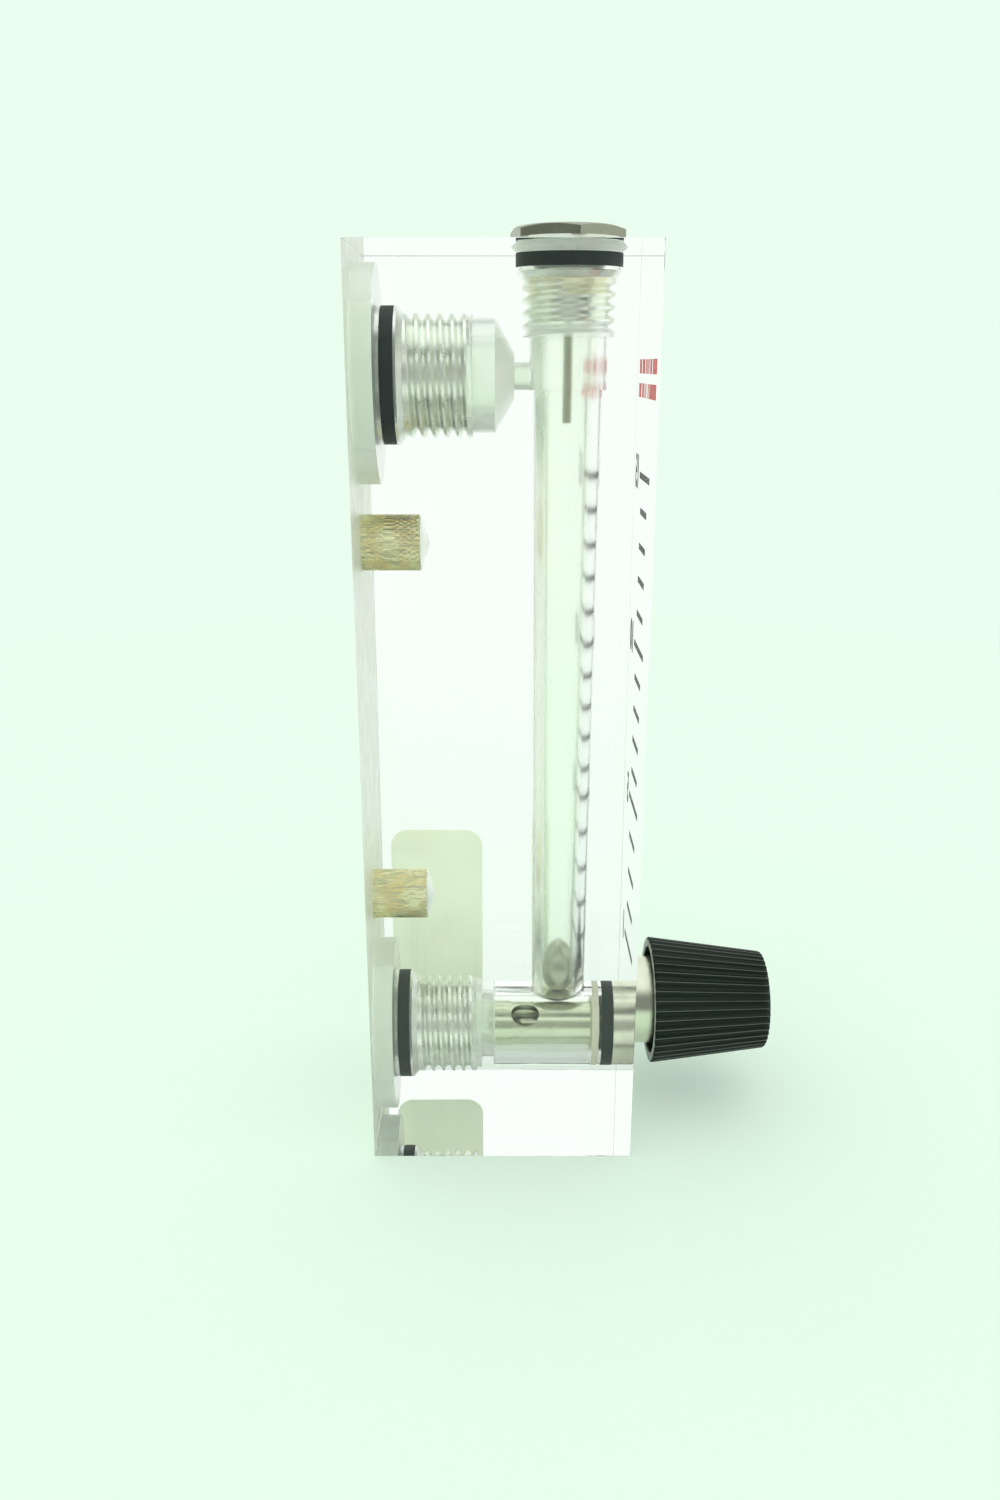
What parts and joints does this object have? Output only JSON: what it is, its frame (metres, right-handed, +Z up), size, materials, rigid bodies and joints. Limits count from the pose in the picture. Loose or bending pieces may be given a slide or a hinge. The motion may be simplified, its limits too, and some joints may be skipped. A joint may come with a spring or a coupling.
{
  "type": "rotameter flow meter",
  "caption": "Clear upright block flow meter with a ball float in a tapered bore, flanged ports and tapped inserts in its back, a hexagon plug on top and a ribbed needle valve knob in front.",
  "frame": {"origin": "centre of the block's bottom face", "axes": "+X towards the valve knob in front, +Z up along the bore, so the ports and mounting inserts face -X and the blank label faces +Y"},
  "size_m": [0.0554, 0.035, 0.1186],
  "materials": {
    "acrylic": "polished, clear with a faint green tone",
    "stainless": "satin, machined",
    "stainless_bright": "polished",
    "brass": "machined",
    "bronze": "machined, darkened",
    "black_rubber": "matt",
    "amber_plastic": "plain",
    "black_plastic": "satin",
    "paper": "blank"
  },
  "bodies": {
    "meter": {"body_block": "acrylic", "top_plug": "stainless", "top_plug_o_ring": "black_rubber", "float_stop_rod": "stainless_bright", "inlet_fitting": "stainless", "outlet_fitting": "stainless", "inlet_o_ring": "black_rubber", "outlet_o_ring": "black_rubber", "lower_insert": "brass", "upper_insert": "bronze", "valve_barrel": "stainless_bright", "valve_seat": "brass", "valve_bonnet": "stainless_bright", "bonnet_o_ring": "black_rubber", "bonnet_backup_ring": "amber_plastic", "stem_retaining_ring": "stainless_bright", "side_label": "paper"},
    "float": {"float_ball": "stainless_bright"},
    "stem_carrier": {"stem_o_ring": "black_rubber"},
    "knob_and_stem": {"valve_stem": "stainless_bright", "knob": "black_plastic", "knob_bush": "brass", "knob_set_screw": "stainless"}
  },
  "joints": [
    {"name": "float_travel", "type": "slide", "parent": "meter", "child": "float", "axis": [0, 0, 1], "range_m": [0, 0.0698]},
    {"name": "stem_advance", "type": "slide", "parent": "meter", "child": "stem_carrier", "axis": [1, 0, 0], "range_m": [-0.0016, 0.0024]},
    {"name": "knob_turn", "type": "hinge", "parent": "stem_carrier", "child": "knob_and_stem", "pos_m": [0.0297, 0, 0.0143], "axis": [1, 0, 0], "range_deg": [-720, 1080]}
  ],
  "couplings": [
    {"joint": "stem_advance", "follows": "knob_turn", "m_per_rad": 0.00012633}
  ]
}
